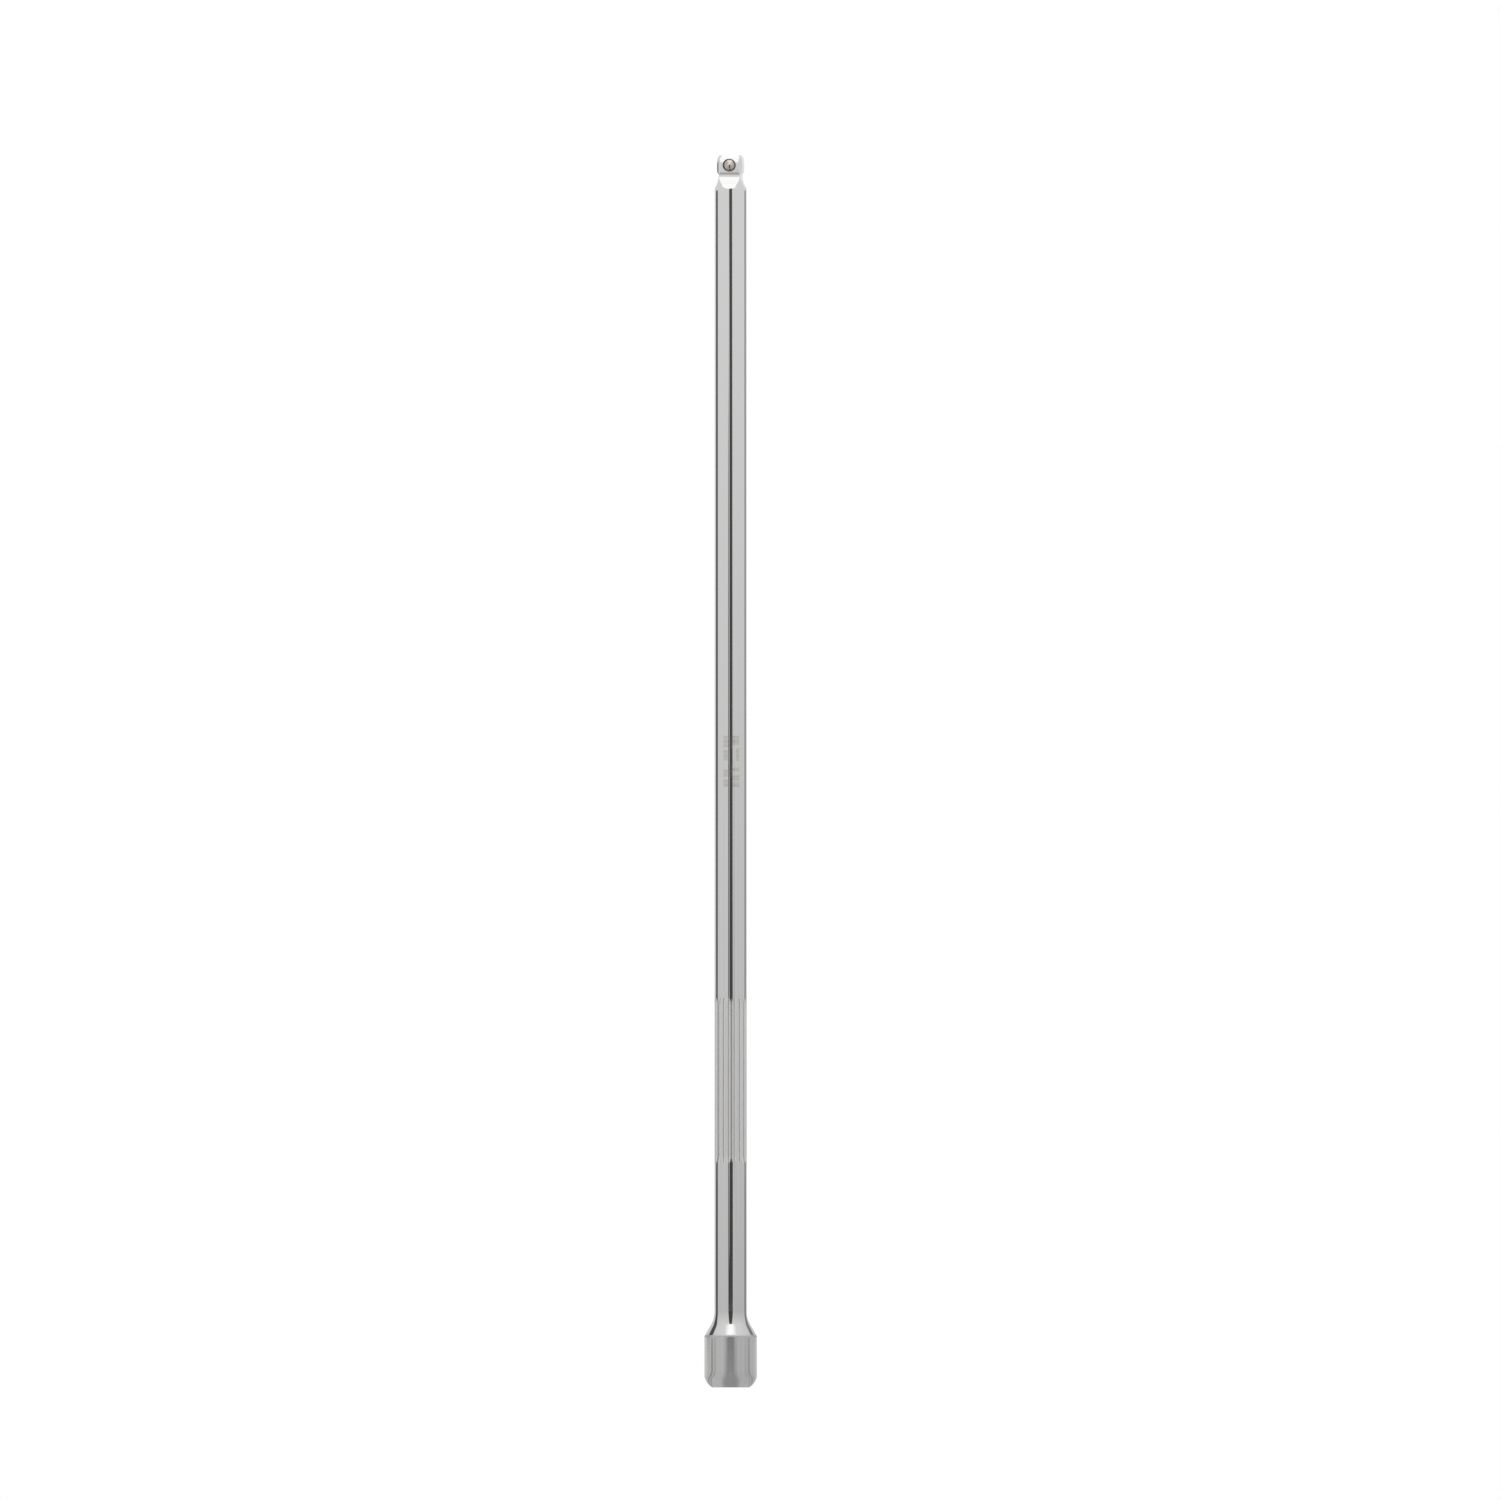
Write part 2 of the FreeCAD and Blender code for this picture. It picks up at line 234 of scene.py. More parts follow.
ballBore = {
    "seatRadius": 1.53,
    "mouthRadius": 1.65,
    "lipRadius": 1.462,
    "mouthDepth": 3.15,             # from the axis out to the square's face
    "lipDepth": 2.85,
    "floorDepth": 2.15,             # beyond the axis
    "segments": 96,
}


def barProfile():
    bottom = (0, bar["mouthRadius"])
    edgeTop = (bar["mouthEdge"][0], bar["socketRadius"])
    shoulder = (bar["socketTop"], bar["socketRadius"])
    coneEnd = (bar["coneTop"], bar["shankRadius"])
    shankTop = (bar["noseLow"], bar["shankRadius"])
    neckLow = (bar["noseHigh"], bar["neckRadius"])
    profile = [bottom] + arcTo(bottom, edgeTop, bar["mouthEdge"][1], 14)
    profile += [(edgeTop[0] + bar["mouthBlend"], bar["socketRadius"])]
    easedShoulder = roundedCorner(edgeTop, shoulder, coneEnd, bar["shoulderRounding"], 10)
    profile += [(easedShoulder[0][0] - bar["support"], bar["socketRadius"])] + easedShoulder
    easedNeck = roundedCorner(shoulder, coneEnd, shankTop, bar["neckRounding"], 12)
    first, last = Vector(easedShoulder[-1]), Vector(easedNeck[0])
    profile += [tuple(first.lerp(last, share)) for share in (0.12, 0.5, 0.88)]
    profile += easedNeck + [(easedNeck[-1][0] + bar["support"], bar["shankRadius"])]
    profile += [(shankTop[0] - bar["support"], bar["shankRadius"]), shankTop]
    profile += arcTo(shankTop, neckLow, bar["noseRounding"], 12)
    profile += [(bar["neckTop"], bar["neckRadius"]), (bar["headLow"], bar["headRadius"]),
                (bar["bevelLow"], bar["headRadius"]), (bar["length"], bar["tipRadius"])]
    return profile


def cutFlutes(piece):
    reach = bar["shankRadius"] - flutes["depth"] + flutes["cutterRadius"]
    thin = flutes["cutterRadius"] - flutes["depth"]
    sweep = (flutes["runOut"] ** 2 + flutes["depth"] ** 2) / (2 * flutes["depth"])
    low, high = flutes["low"], flutes["high"]
    profile = [(low, thin)]
    for step in range(1, 9):
        short = flutes["runOut"] * (1 - step / 8)
        width = flutes["cutterRadius"] - sweep + math.sqrt(sweep ** 2 - short ** 2)
        profile.append((low + flutes["runOut"] - short, width))
    profile += [(low + high - height, width) for height, width in reversed(profile)]
    first = turned("fluteCutter", profile, flutes["segments"])
    first.location = (0, -reach * mm, 0)
    settle(first)
    cutters = [first]
    for index in range(1, flutes["count"]):
        copy = first.copy()
        copy.data = first.data.copy()
        bpy.context.collection.objects.link(copy)
        copy.rotation_euler = (0, 0, index * 2 * math.pi / flutes["count"])
        settle(copy)
        cutters.append(copy)
    deselectAll()
    for cutter in cutters:
        cutter.select_set(True)
    bpy.context.view_layer.objects.active = first
    bpy.ops.object.join()
    cutWith(piece, first)


def cutTang(piece):
    wide = bar["socketRadius"] + 2
    neck = (bar["neckTop"], tang["neckWidth"])
    headLow = (bar["headLow"], tang["headLowWidth"])
    crown = (tang["crownHeight"], tang["crownWidth"])
    tipLow = (tang["tipLow"], tang["tipLowWidth"])
    tip = (bar["length"], tang["tipWidth"])
    flare = (tang["flareLow"], tang["flareWidth"])
    profile = [(-1, wide), (flare[0] - 0.05, wide), flare]
    profile += arcTo(flare, neck, -tang["flareRadius"], 18) + [headLow]
    profile += arcTo(headLow, crown, tang["crownFallBelow"], 5)
    profile += arcTo(crown, tipLow, tang["crownFallAbove"], 5)
    profile += arcTo(tipLow, tip, tang["tipRounding"], 7)
    profile += [(bar["length"] + 0.5, tang["tipWidth"] - 0.4)]
    for quarter in (0, 1):
        deselectAll()
        bpy.ops.mesh.primitive_plane_add(size=2 * wide * mm, location=(0, 0, profile[0][0] * mm))
        keep = drawOut("tangSides", bpy.context.object, profile, across=(1, 0))
        keep.rotation_euler = (0, 0, quarter * math.pi / 2)
        settle(keep)
        cutWith(piece, keep, "INTERSECT")


def cutDriveHole(piece):
    over = 1.0
    halfGroove = drive["catchFlat"]
    slope = drive["catchRadius"] - drive["pilotRadius"]
    leadIn = (drive["leadInRadius"] - drive["pilotRadius"]) / drive["leadInDepth"]
    profile = [
        (-over, drive["leadInRadius"] + over * leadIn),
        (drive["leadInDepth"], drive["pilotRadius"]),
        (drive["catchCentre"] - halfGroove - slope, drive["pilotRadius"]),
        (drive["catchCentre"] - halfGroove, drive["catchRadius"]),
        (drive["catchCentre"] + halfGroove, drive["catchRadius"]),
        (drive["catchCentre"] + halfGroove + slope, drive["pilotRadius"]),
        (drive["pilotDepth"], drive["pilotRadius"]),
        (drive["pointDepth"], 0.02),
    ]
    cutWith(piece, turned("pilotCutter", profile, drive["segments"]))
    height = drive["depth"] + over
    deselectAll()
    bpy.ops.mesh.primitive_cube_add(
        size=mm, scale=(drive["acrossFlats"], drive["acrossFlats"], height),
        location=(0, 0, (drive["depth"] - over) / 2 * mm))
    square = bpy.context.object
    settle(square)
    bpy.ops.object.mode_set(mode="EDIT")
    bpy.ops.mesh.select_all(action="DESELECT")
    mesh = bmesh.from_edit_mesh(square.data)
    for edge in mesh.edges:
        edge.select_set(abs(edge.verts[0].co.z - edge.verts[1].co.z) > mm)
    bmesh.update_edit_mesh(square.data)
    bpy.ops.mesh.bevel(offset=drive["cornerRadius"] * mm, segments=6)
    bpy.ops.object.mode_set(mode="OBJECT")
    cutWith(piece, square)


def cutBallBore(piece):
    # turned upright about the bore's own axis, then laid along Y
    lip = (-ballBore["lipDepth"], ballBore["lipRadius"])
    seat = (ballCentre.y / mm, ballBore["seatRadius"])
    widening = ballBore["mouthRadius"] - ballBore["lipRadius"]
    slope = widening / (ballBore["mouthDepth"] - ballBore["lipDepth"])
    over = 0.4
    profile = [(-ballBore["mouthDepth"] - over, ballBore["mouthRadius"] + over * slope), lip]
    profile += arcTo(lip, seat, ballBore["seatRadius"], 5)
    profile += [(ballBore["floorDepth"], ballBore["seatRadius"])]
    cutter = turned("boreCutter", profile, ballBore["segments"])
    cutter.rotation_euler = (-math.pi / 2, 0, 0)
    cutter.location = (0, 0, ballCentre.z)
    settle(cutter)
    cutWith(piece, cutter)


def makeBar():
    piece = turned("chromeBar", barProfile(), bar["segments"])
    cutFlutes(piece)
    cutTang(piece)
    cutDriveHole(piece)
    cutBallBore(piece)
    activate(piece)
    bpy.ops.object.mode_set(mode="EDIT")
    bpy.ops.mesh.select_all(action="SELECT")
    bpy.ops.mesh.remove_doubles(threshold=1e-6)
    bpy.ops.object.mode_set(mode="OBJECT")
    bpy.ops.object.shade_smooth_by_angle(angle=math.radians(bar["sharpAngle"]))
    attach(piece, "bar")
    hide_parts("extension_bar")
    return piece


chromeBar = makeBar()
print("bar modelled:", len(chromeBar.data.polygons), "faces")


ball = {
    "radius": max(ballHigh - ballLow) / 2,
    "cuts": 23,
    "lightSteel": (0.56, 0.515, 0.48, 1),
    "dullSteel": (0.46, 0.42, 0.385, 1),
    "roughness": 0.11,
    "roughnessChange": 0.06,
}


def makeBall():
    deselectAll()
    bpy.ops.mesh.primitive_cube_add(size=2 * ball["radius"])
    piece = bpy.context.object
    piece.name = "lockingBall"
    bpy.ops.object.mode_set(mode="EDIT")
    bpy.ops.mesh.select_all(action="SELECT")
    bpy.ops.mesh.subdivide(number_cuts=ball["cuts"])
    bpy.ops.transform.tosphere(value=1)
    bpy.ops.object.mode_set(mode="OBJECT")
    grown = piece.data.vertices[0].co.length
    piece.scale = (ball["radius"] / grown,) * 3
    piece.location = ballCentre
    settle(piece)
    bpy.ops.object.shade_smooth()
    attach(piece, "ball")
    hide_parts("detent_ball")
    return piece


lockingBall = makeBall()
print("ball modelled:", len(lockingBall.data.polygons), "faces")


spring = {
    "wire": 0.35,
    "outerRadius": (springHigh.x - springLow.x) / 2 / mm,
    "closedTurns": 1,
    "openTurns": 4,
    "stepsInTurn": 28,
    "wireSegments": 12,
    "closedPitch": 0.37,
    "darkWire": (0.22, 0.21, 0.2, 1),
    "lightWire": (0.36, 0.35, 0.335, 1),
    "roughness": 0.22,
    "roughnessChange": 0.2,
    "relief": 0.4,
}


def makeSpring():
    # the wire's end is drawn round the coil step by step, close at both ends and open between
    wire = spring["wire"]
    coilRadius = spring["outerRadius"] - wire / 2
    length = (springHigh.y - springLow.y) / mm - wire
    openPitch = (length - 2 * spring["closedTurns"] * spring["closedPitch"]) / spring["openTurns"]
    deselectAll()
    bpy.ops.mesh.primitive_circle_add(
        vertices=spring["wireSegments"], radius=wire / 2 * mm, rotation=(math.pi / 2, 0, 0),
        location=(coilRadius * mm, 0, wire / 2 * mm))
    piece = bpy.context.object
    piece.name = "ballSpring"
    settle(piece)
    bpy.ops.object.mode_set(mode="EDIT")
    bpy.ops.mesh.select_all(action="SELECT")
    turn = 2 * math.pi / spring["stepsInTurn"]
    turns = spring["openTurns"] + 2 * spring["closedTurns"]
    for step in range(turns * spring["stepsInTurn"]):
        place = (step + 0.5) / spring["stepsInTurn"]
        closed = place < spring["closedTurns"] or place > turns - spring["closedTurns"]
        rise = (spring["closedPitch"] if closed else openPitch) / spring["stepsInTurn"]
        bpy.ops.mesh.extrude_region_move(TRANSFORM_OT_translate={"value": (0, 0, rise * mm)})
        bpy.ops.transform.rotate(value=-turn, orient_axis="Z", center_override=(0, 0, 0))
    bpy.ops.mesh.edge_face_add()
    mesh = bmesh.from_edit_mesh(piece.data)
    bpy.ops.mesh.select_all(action="DESELECT")
    for edge in mesh.edges:
        edge.select_set(edge.is_boundary)
    bmesh.update_edit_mesh(piece.data)
    bpy.ops.mesh.edge_face_add()
    bpy.ops.mesh.select_all(action="SELECT")
    bpy.ops.mesh.normals_make_consistent(inside=False)
    bpy.ops.object.mode_set(mode="OBJECT")
    piece.rotation_euler = (-math.pi / 2, 0, 0)
    piece.location = (0, springLow.y, ballCentre.z)
    settle(piece)
    bpy.ops.object.shade_smooth_by_angle(angle=math.radians(50))
    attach(piece, "bar")
    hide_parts("detent_spring")
    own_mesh(piece)
    return piece


ballSpring = makeSpring()
print("spring modelled:", len(ballSpring.data.polygons), "faces")


look = {
    "sidewaysTurn": 6.5,            # the camera stands this many degrees round towards +X
    "width": 0.3711,
    "distance": 1.2,
    "acrossShift": 0.00479,
    "height": 0.1577,
}


def newMaterial(name):
    material = bpy.data.materials.new(name)
    material.use_nodes = True
    material.node_tree.nodes.clear()
    return material, material.node_tree


def put(tree, kind, settings=None, **inputs):
    # a node with its settings, and its sockets set to values or joined to other sockets
    added = tree.nodes.new(kind)
    for name, value in (settings or {}).items():
        setattr(added, name, value)
    for name, value in inputs.items():
        key = int(name[2:]) if name.startswith("in") and name[2:].isdigit() else name.replace("_", " ")
        if isinstance(value, bpy.types.NodeSocket):
            tree.links.new(value, added.inputs[key])
        else:
            added.inputs[key].default_value = value
    return added


def maths(tree, operation, first, second=0.0, third=0.0, clamp=False):
    added = put(tree, "ShaderNodeMath", {"operation": operation, "use_clamp": clamp},
                in0=first, in1=second, in2=third)
    return added.outputs[0]


def step(tree, value, low, high, toLow=0.0, toHigh=1.0):
    # an eased change from toLow to toHigh while the value goes from low to high
    added = put(tree, "ShaderNodeMapRange", {"interpolation_type": "SMOOTHSTEP"},
                Value=value, From_Min=low, From_Max=high, To_Min=toLow, To_Max=toHigh)
    return added.outputs["Result"]


def band(tree, value, low, high, soft):
    rise = step(tree, value, low - soft, low + soft)
    fall = step(tree, value, high - soft, high + soft, 1.0, 0.0)
    return maths(tree, "MULTIPLY", rise, fall)


def blendColour(tree, share, first, second):
    return put(tree, "ShaderNodeMix", {"data_type": "RGBA"}, in0=share, in6=first,
               in7=second).outputs[2]


def noise(tree, vector, scale, detail=2.0, roughness=0.5):
    return put(tree, "ShaderNodeTexNoise", Vector=vector, Scale=scale, Detail=detail,
               Roughness=roughness).outputs["Fac"]


def stretched(tree, vector, scale):
    return put(tree, "ShaderNodeMapping", Vector=vector, Scale=scale).outputs["Vector"]


def placeOnPiece(tree):
    # object coordinates in millimetres, as a vector and as its three parts
    coordinate = put(tree, "ShaderNodeTexCoord").outputs["Object"]
    vector = stretched(tree, coordinate, (1 / mm, 1 / mm, 1 / mm))
    parts = put(tree, "ShaderNodeSeparateXYZ", Vector=vector).outputs
    return vector, parts[0], parts[1], parts[2]


chrome = {
    "colour": (0.704, 0.7, 0.698, 1),
    "polished": 0.075,
    "satin": 0.135,
    "satinFade": 0.7,               # the satin end turns to polish over this height
    "cloudDulling": 0.02,
    "smudgeDulling": 0.02,
    "streakDulling": 0.06,
    "streakShare": 0.3,
    "streakColour": (0.52, 0.52, 0.525, 1),
    "gripInset": 0.6,               # the dulled grip stops this short of the flutes' ends
    "gripSoft": 0.8,
    "gripDulling": 0.27,
    "gripColour": (0.79, 0.785, 0.78, 1),
    "ballGapShadeRing": (1.46, 1.62),    # painted shade: a dark ring round the ball where the gap between the ball and the bore's lip is in shade
    "ballGapShadeFace": (-2.75, -2.6),   # it shows on the tang's front face alone
    "ballGapShadeShare": 0.3,
    "ballGapShadeDulling": 0.3,
    "ballGapShadeColour": (0.1, 0.095, 0.09, 1),
    "edgeWear": (12.4, 12.95, 0.42),  # dulled shoulder edge: its two heights and how dull
    "edgeSoft": 0.12,
    "boreColour": (0.34, 0.335, 0.33, 1),
    "boreRoughness": 0.42,
    "boreSide": (4.35, 4.5),        # the dull bore ends between these radii, inside the mouth
    "boreLow": (0.02, 0.3),
    "relief": 0.12,
}


# frosted ticks in rows up the bar: arc each way from the rows' middle line, and height
etching = {
    "turn": 6.5,                    # degrees round from the front to that middle line
    "rows": [
        {"arc": (-1.85, -0.7),
         "heights": [(158.4, 161.2), (155.1, 157.7), (151.1, 152.9), (148.6, 150.4)]},
        {"arc": (0.5, 2.25),
         "heights": [(158.9, 161.2), (152.5, 153.3), (150.2, 151.4), (148.5, 149.8)]},
        {"arc": (1.35, 2.2), "heights": [(155.0, 158.2)]},
        {"arc": (-0.45, 0.3), "heights": [(158.2, 160.2), (151.0, 154.0)]},
    ],
    "soft": 0.12,
    "hatch": 5.2,
    "colour": (0.58, 0.568, 0.535, 1),
    "dulling": 0.15,
}


def etchedMask(tree, x, y, z):
    around = maths(tree, "ARCTAN2", x, maths(tree, "MULTIPLY", y, -1.0))
    around = maths(tree, "SUBTRACT", around, math.radians(etching["turn"]))
    arc = maths(tree, "MULTIPLY", around, bar["shankRadius"])
    mask = None
    for row in etching["rows"]:
        inRow = band(tree, arc, *row["arc"], etching["soft"])
        for low, high in row["heights"]:
            tick = maths(tree, "MULTIPLY", inRow, band(tree, z, low, high, etching["soft"]))
            mask = tick if mask is None else maths(tree, "MAXIMUM", mask, tick)
    # short strokes inside each tick
    strokes = maths(tree, "SINE", maths(tree, "MULTIPLY", z, etching["hatch"]))
    strokes = step(tree, strokes, -0.6, 0.6, 0.7, 1.0)
    return maths(tree, "MULTIPLY", mask, strokes)


def chromeMaterial():
    material, tree = newMaterial("polishedChrome")
    place, x, y, z = placeOnPiece(tree)
    across = maths(tree, "SQRT", maths(tree, "MULTIPLY_ADD", x, x, maths(tree, "MULTIPLY", y, y)))

    onSocket = step(tree, z, bar["socketTop"], bar["socketTop"] + chrome["satinFade"], 1.0, 0.0)
    onGrip = band(tree, z, flutes["low"] + chrome["gripInset"],
                  flutes["high"] - chrome["gripInset"], chrome["gripSoft"])
    inBore = maths(tree, "MULTIPLY", step(tree, across, *chrome["boreSide"], 1.0, 0.0),
                   step(tree, z, bar["socketTop"] - 0.5, bar["socketTop"], 1.0, 0.0))
    inBore = maths(tree, "MULTIPLY", inBore, step(tree, z, *chrome["boreLow"]))

    # a slow change of gloss, finger smudges, polishing lines round the bar and streaks along it
    cloud = noise(tree, place, 0.22, 3)
    smudge = step(tree, noise(tree, stretched(tree, place, (1, 1, 0.45)), 0.5, 4), 0.52, 0.72)
    lines = noise(tree, stretched(tree, place, (0.02, 0.02, 14)), 1.4, 2)
    streaks = noise(tree, stretched(tree, place, (1, 1, 0.015)), 1.5, 3, 0.6)
    fineStreaks = noise(tree, stretched(tree, place, (1, 1, 0.02)), 7.0, 2)

    rough = maths(tree, "MULTIPLY_ADD", cloud, chrome["cloudDulling"],
                  chrome["polished"] - chrome["cloudDulling"] / 2)
    rough = maths(tree, "MULTIPLY_ADD", smudge, chrome["smudgeDulling"], rough)
    rough = maths(tree, "MULTIPLY_ADD", onSocket, chrome["satin"] - chrome["polished"], rough)
    socketStreaks = maths(tree, "MULTIPLY", onSocket, streaks)
    rough = maths(tree, "MULTIPLY_ADD", socketStreaks, chrome["streakDulling"], rough)
    rough = maths(tree, "MULTIPLY_ADD", onGrip, chrome["gripDulling"], rough)
    wearLow, wearHigh, wear = chrome["edgeWear"]
    onEdge = band(tree, z, wearLow, wearHigh, chrome["edgeSoft"])
    rough = maths(tree, "MULTIPLY_ADD", onEdge, wear, rough)
    rough = maths(tree, "MULTIPLY_ADD", inBore, chrome["boreRoughness"] - chrome["satin"], rough)

    # streaks of a slightly darker tone on the satin end
    streakTone = maths(tree, "MULTIPLY", onSocket, step(tree, streaks, 0.3, 0.75))
    streakTone = maths(tree, "MULTIPLY", streakTone, chrome["streakShare"])
    tone = blendColour(tree, streakTone, chrome["colour"], chrome["streakColour"])
    tone = blendColour(tree, inBore, tone, chrome["boreColour"])
    tone = blendColour(tree, onGrip, tone, chrome["gripColour"])

    etched = etchedMask(tree, x, y, z)
    rough = maths(tree, "MULTIPLY_ADD", etched, etching["dulling"], rough)
    tone = blendColour(tree, etched, tone, etching["colour"])

    # painted shade round the ball: a dark, duller ring on the tang's front face, where the gap between
    # the ball and the bore's lip is in shade
    fromBall = maths(tree, "SUBTRACT", z, ballCentre.z / mm)
    fromBall = maths(tree, "MULTIPLY_ADD", x, x, maths(tree, "MULTIPLY", fromBall, fromBall))
    ballGapShade = band(tree, maths(tree, "SQRT", fromBall), *chrome["ballGapShadeRing"], 0.05)
    onFace = step(tree, y, *chrome["ballGapShadeFace"], chrome["ballGapShadeShare"], 0.0)
    ballGapShade = maths(tree, "MULTIPLY", ballGapShade, onFace)
    rough = maths(tree, "MULTIPLY_ADD", ballGapShade, chrome["ballGapShadeDulling"], rough)
    tone = blendColour(tree, ballGapShade, tone, chrome["ballGapShadeColour"])

    # fine relief: the lines on the shank, the streaks on the satin end
    height = maths(tree, "MULTIPLY", lines, maths(tree, "SUBTRACT", 1.0, onSocket))
    height = maths(tree, "MULTIPLY_ADD", fineStreaks, onSocket, height)
    bump = put(tree, "ShaderNodeBump", Strength=chrome["relief"], Distance=2e-6, Height=height)
    shader = put(tree, "ShaderNodeBsdfPrincipled", Base_Color=tone, Metallic=1.0, Roughness=rough,
                 Normal=bump.outputs[0])
    put(tree, "ShaderNodeOutputMaterial", Surface=shader.outputs[0])
    return material


def ballMaterial():
    material, tree = newMaterial("ballSteel")
    place = placeOnPiece(tree)[0]
    cloud = noise(tree, place, 1.6, 3)
    tone = blendColour(tree, step(tree, cloud, 0.35, 0.7), ball["lightSteel"], ball["dullSteel"])
    rough = maths(tree, "MULTIPLY_ADD", noise(tree, place, 6, 2), ball["roughnessChange"],
                  ball["roughness"])
    shader = put(tree, "ShaderNodeBsdfPrincipled", Base_Color=tone, Metallic=1.0, Roughness=rough)
    put(tree, "ShaderNodeOutputMaterial", Surface=shader.outputs[0])
    return material


def springMaterial():
    material, tree = newMaterial("drawnWire")
    place = placeOnPiece(tree)[0]
    drawn = noise(tree, stretched(tree, place, (1, 9, 1)), 2.5, 3)
    tone = blendColour(tree, drawn, spring["darkWire"], spring["lightWire"])
    rough = maths(tree, "MULTIPLY_ADD", drawn, spring["roughnessChange"], spring["roughness"])
    bump = put(tree, "ShaderNodeBump", Strength=spring["relief"], Distance=4e-6, Height=drawn)
    shader = put(tree, "ShaderNodeBsdfPrincipled", Base_Color=tone, Metallic=1.0, Roughness=rough,
                 Normal=bump.outputs[0])
    put(tree, "ShaderNodeOutputMaterial", Surface=shader.outputs[0])
    return material


def dress(piece, material):
    piece.data.materials.clear()
    piece.data.materials.append(material)


dress(chromeBar, chromeMaterial())
dress(lockingBall, ballMaterial())
dress(ballSpring, springMaterial())
print("finishes made")


studio = {
    "floorRadius": 4.0,
    "tentRadius": 0.22,
    "tentHeight": 0.6,
    "wallLow": 0.62,                # light of the walls beside the socket end and beside the tip
    "wallHigh": 0.88,
    "wallRise": 0.6,                # below 1 the light grows mostly low down
    "rightFade": 0.08,              # the right wall is this much darker low down
    "panelLow": 0.347,              # a bright panel above the camera starts at this height
    "panelEdge": 0.01,
    "panelHalfAngle": 30,
    "panelSoft": 26,
    "panelLight": 1.42,
    "lidLight": 1.5,
    "backLight": 1.0,
    "undersideHeight": -1e-5,       # between the socket's mouth and the floor
    "floorHeight": -2e-5,
    "floorColour": (0.78, 0.78, 0.775, 1),
    "floorRoughness": 0.8,
}

# what the walls show, in degrees round from the camera's side: the gap that the camera looks
# through, and dark strips; each has half widths beside the socket end and beside the tip, and a
# reach in height; a strip with dark below nought is a brighter one
besideSocket = (-1, 0.0165)
besideShank = (0.0165, 0.298)
strips = [
    {"centre": 0, "halves": (16.0, 10.5), "soft": 1.5, "dark": 0.9, "reach": (0.0165, 0.34)},
    {"centre": 0, "halves": (24.0, 24.0), "soft": 11.0, "dark": 0.41, "reach": besideSocket},
    {"centre": -118, "halves": (13.0, 13.0), "soft": 2.5, "dark": 0.88, "reach": besideShank},
    {"centre": 129, "halves": (11.0, 11.0), "soft": 2.5, "dark": 0.66, "reach": besideShank},
    {"centre": 180, "halves": (8.0, 8.0), "soft": 2.0, "dark": 0.8, "reach": besideShank},
    {"centre": -89, "halves": (4.0, 4.0), "soft": 1.5, "dark": 0.7, "reach": besideSocket},
    {"centre": -72, "halves": (2.5, 2.5), "soft": 1.5, "dark": 0.55, "reach": besideSocket},
    {"centre": 87, "halves": (4.0, 4.0), "soft": 1.5, "dark": 0.5, "reach": besideSocket},
    {"centre": 68, "halves": (2.5, 2.5), "soft": 1.5, "dark": 0.3, "reach": besideSocket},
    {"centre": 180, "halves": (58.0, 58.0), "soft": 8.0, "dark": -0.16, "reach": besideSocket},
]


def wallMaterial():
    material, tree = newMaterial("tentWall")
    coordinate = put(tree, "ShaderNodeTexCoord").outputs["Object"]
    parts = put(tree, "ShaderNodeSeparateXYZ", Vector=coordinate).outputs
    around = maths(tree, "ARCTAN2", parts[0], maths(tree, "MULTIPLY", parts[1], -1.0))
    around = maths(tree, "MULTIPLY", around, 180 / math.pi)
    height = parts[2]
    share = maths(tree, "DIVIDE", height, barHigh.z)
    rise = maths(tree, "MINIMUM", maths(tree, "MAXIMUM", share, 0.0), 1.0)
    rise = maths(tree, "POWER", rise, studio["wallRise"])
    light = maths(tree, "MULTIPLY_ADD", rise, studio["wallHigh"] - studio["wallLow"], studio["wallLow"])
    fade = maths(tree, "MULTIPLY", step(tree, share, 0.0, 1.0, studio["rightFade"], 0.0),
                 step(tree, around, 5.0, 40.0))
    light = maths(tree, "MULTIPLY", light, maths(tree, "SUBTRACT", 1.0, fade))
    for strip in strips:
        away = maths(tree, "ABSOLUTE", maths(tree, "SUBTRACT", around, float(strip["centre"])))
        away = maths(tree, "MINIMUM", away, maths(tree, "SUBTRACT", 360.0, away))
        lowHalf, highHalf = strip["halves"]
        half = maths(tree, "MULTIPLY_ADD", share, highHalf - lowHalf, lowHalf)
        within = step(tree, maths(tree, "SUBTRACT", away, half), -strip["soft"], strip["soft"], 1.0, 0.0)
        within = maths(tree, "MULTIPLY", within, band(tree, height, *strip["reach"], 0.001))
        light = maths(tree, "MULTIPLY", light, maths(tree, "MULTIPLY_ADD", within, -strip["dark"], 1.0))
    panel = step(tree, maths(tree, "ABSOLUTE", around), studio["panelHalfAngle"] - studio["panelSoft"],
                 studio["panelHalfAngle"] + studio["panelSoft"], 1.0, 0.0)
    abovePanelEdge = step(tree, height, studio["panelLow"] - studio["panelEdge"],
                          studio["panelLow"] + studio["panelEdge"])
    panel = maths(tree, "MULTIPLY", panel, abovePanelEdge)
    light = put(tree, "ShaderNodeMix", {"data_type": "FLOAT"}, in0=panel, in2=light,
                in3=studio["panelLight"]).outputs[0]
    shine = put(tree, "ShaderNodeEmission", Strength=light)
    put(tree, "ShaderNodeOutputMaterial", Surface=shine.outputs[0])
    material.cycles.emission_sampling = "NONE"
    return material


def plainLight(name, strength):
    material, tree = newMaterial(name)
    shine = put(tree, "ShaderNodeEmission", Strength=strength)
    put(tree, "ShaderNodeOutputMaterial", Surface=shine.outputs[0])
    material.cycles.emission_sampling = "NONE"
    return material


def onlyInReflections(screen):
    screen.visible_camera = False
    screen.visible_diffuse = False
    screen.visible_shadow = False
    screen.visible_transmission = False
    screen.visible_volume_scatter = False


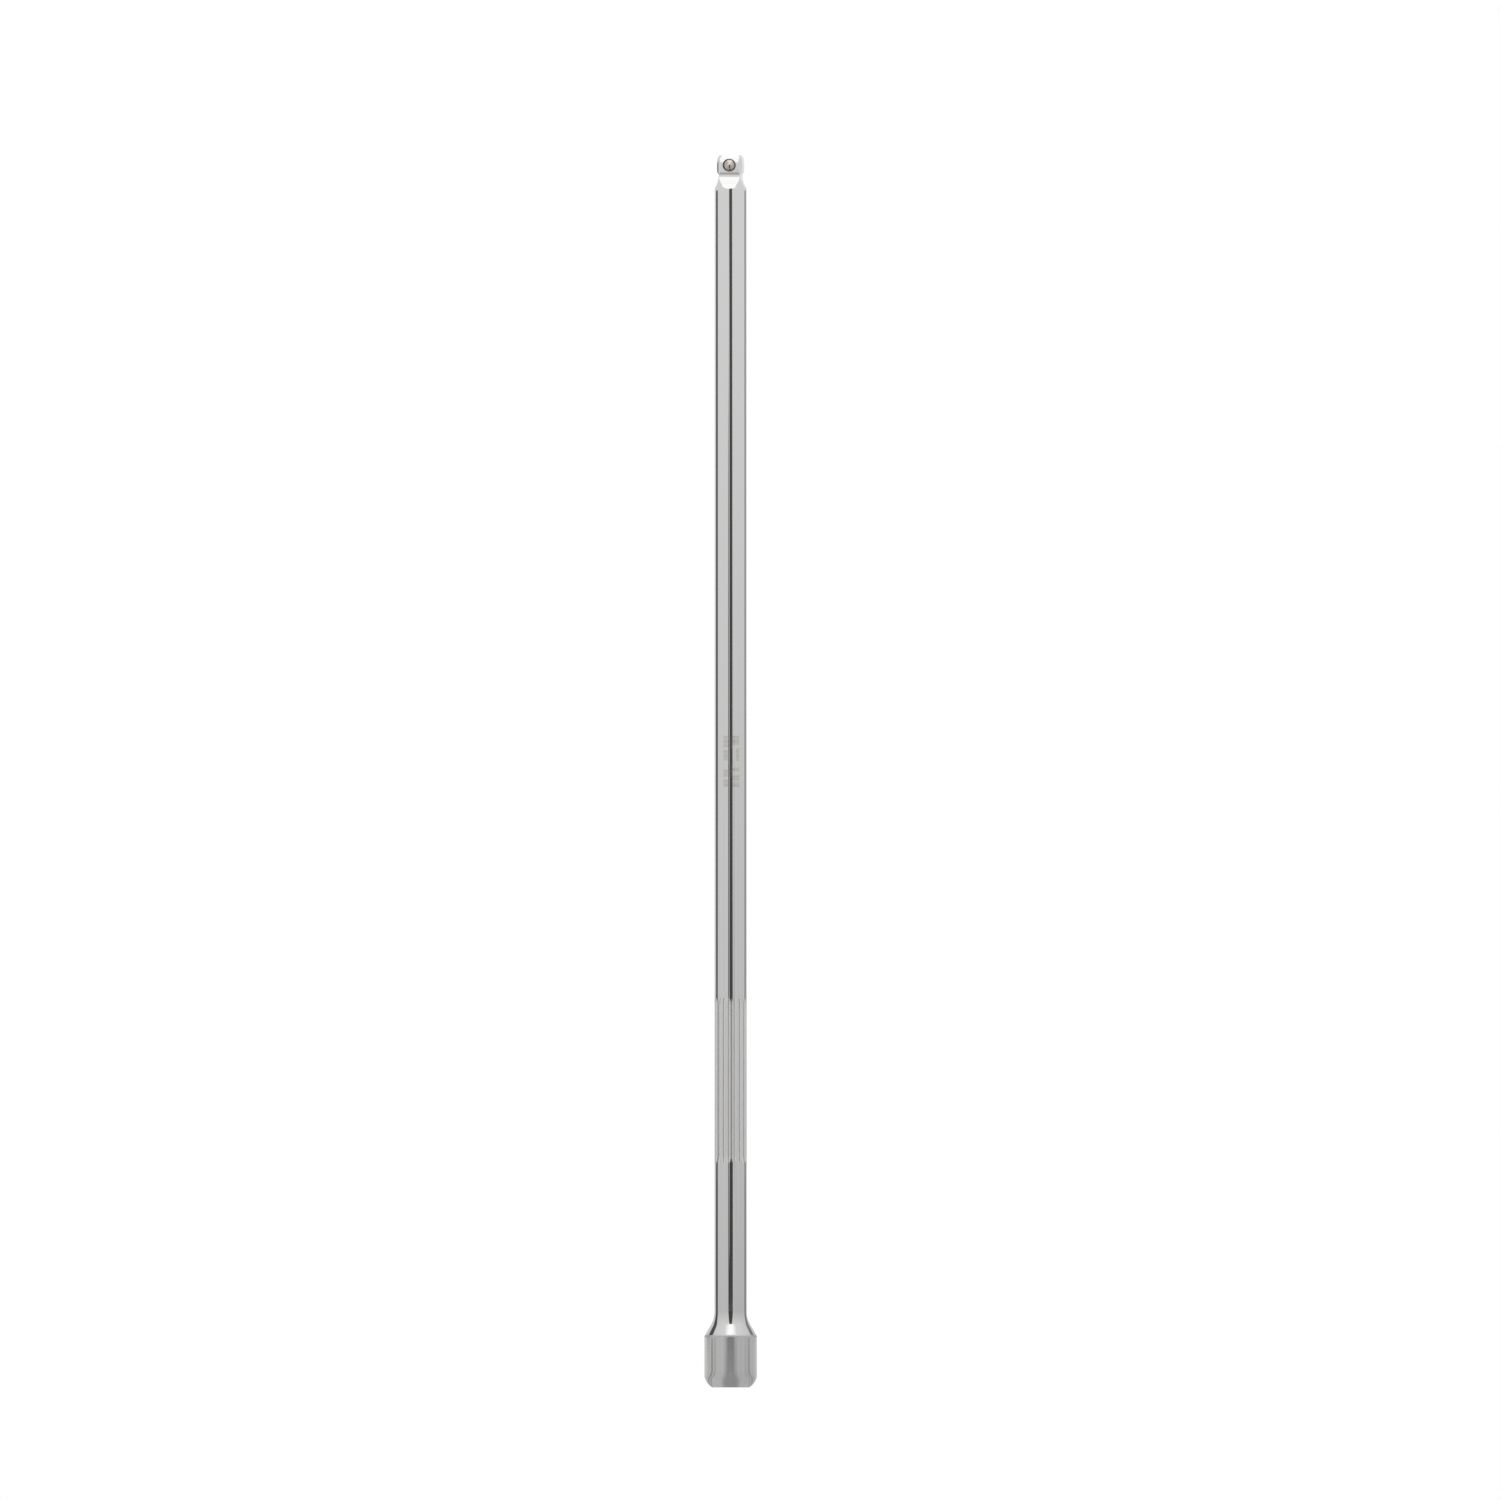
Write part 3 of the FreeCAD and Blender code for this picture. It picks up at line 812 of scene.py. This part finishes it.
def makeTent():
    turn = math.radians(look["sidewaysTurn"])
    deselectAll()
    bpy.ops.mesh.primitive_cylinder_add(
        vertices=128, radius=studio["tentRadius"], depth=studio["tentHeight"],
        end_fill_type="NOTHING", location=(0, 0, 0))
    wall = bpy.context.object
    wall.name = "tentWall"
    bpy.ops.object.mode_set(mode="EDIT")
    bpy.ops.mesh.select_all(action="SELECT")
    bpy.ops.transform.translate(value=(0, 0, studio["tentHeight"] / 2))
    bpy.ops.object.mode_set(mode="OBJECT")
    wall.rotation_euler = (0, 0, turn)
    walls = wallMaterial()
    dress(wall, walls)
    onlyInReflections(wall)
    ends = {"tentLid": (studio["tentHeight"], plainLight("tentLid", studio["lidLight"])),
            "tentUnderside": (studio["undersideHeight"], walls)}
    for name, (height, finish) in ends.items():
        deselectAll()
        bpy.ops.mesh.primitive_circle_add(
            vertices=128, radius=studio["tentRadius"], fill_type="NGON", location=(0, 0, height))
        end = bpy.context.object
        end.name = name
        end.rotation_euler = (0, 0, turn)
        dress(end, finish)
        onlyInReflections(end)


def makeFloor():
    deselectAll()
    bpy.ops.mesh.primitive_circle_add(
        vertices=96, radius=studio["floorRadius"], fill_type="NGON",
        location=(0, 0, studio["floorHeight"]))
    floor = bpy.context.object
    floor.name = "paleFloor"
    material, tree = newMaterial("paleFloor")
    shader = put(tree, "ShaderNodeBsdfPrincipled", Base_Color=studio["floorColour"],
                 Roughness=studio["floorRoughness"])
    put(tree, "ShaderNodeOutputMaterial", Surface=shader.outputs[0])
    dress(floor, material)
    floor.visible_glossy = False


def makeBackdrop():
    world = bpy.data.worlds.new("whiteStudio")
    world.use_nodes = True
    world.node_tree.nodes.clear()
    shine = put(world.node_tree, "ShaderNodeBackground", Color=(1, 1, 1, 1), Strength=studio["backLight"])
    put(world.node_tree, "ShaderNodeOutputWorld", Surface=shine.outputs[0])
    bpy.context.scene.world = world
    bpy.context.scene.view_settings.view_transform = "Standard"


def makeCamera():
    turn = math.radians(look["sidewaysTurn"])
    away = Vector((math.sin(turn), -math.cos(turn), 0))
    right = Vector((math.cos(turn), math.sin(turn), 0))
    lens = bpy.data.cameras.new("levelCamera")
    lens.type = "ORTHO"
    lens.ortho_scale = look["width"]
    camera = bpy.data.objects.new("levelCamera", lens)
    bpy.context.scene.collection.objects.link(camera)
    camera.location = away * look["distance"] + right * look["acrossShift"]
    camera.location.z = look["height"]
    camera.rotation_euler = (math.pi / 2, 0, turn)
    bpy.context.scene.camera = camera


makeTent()
makeFloor()
makeBackdrop()
makeCamera()
print("studio ready")
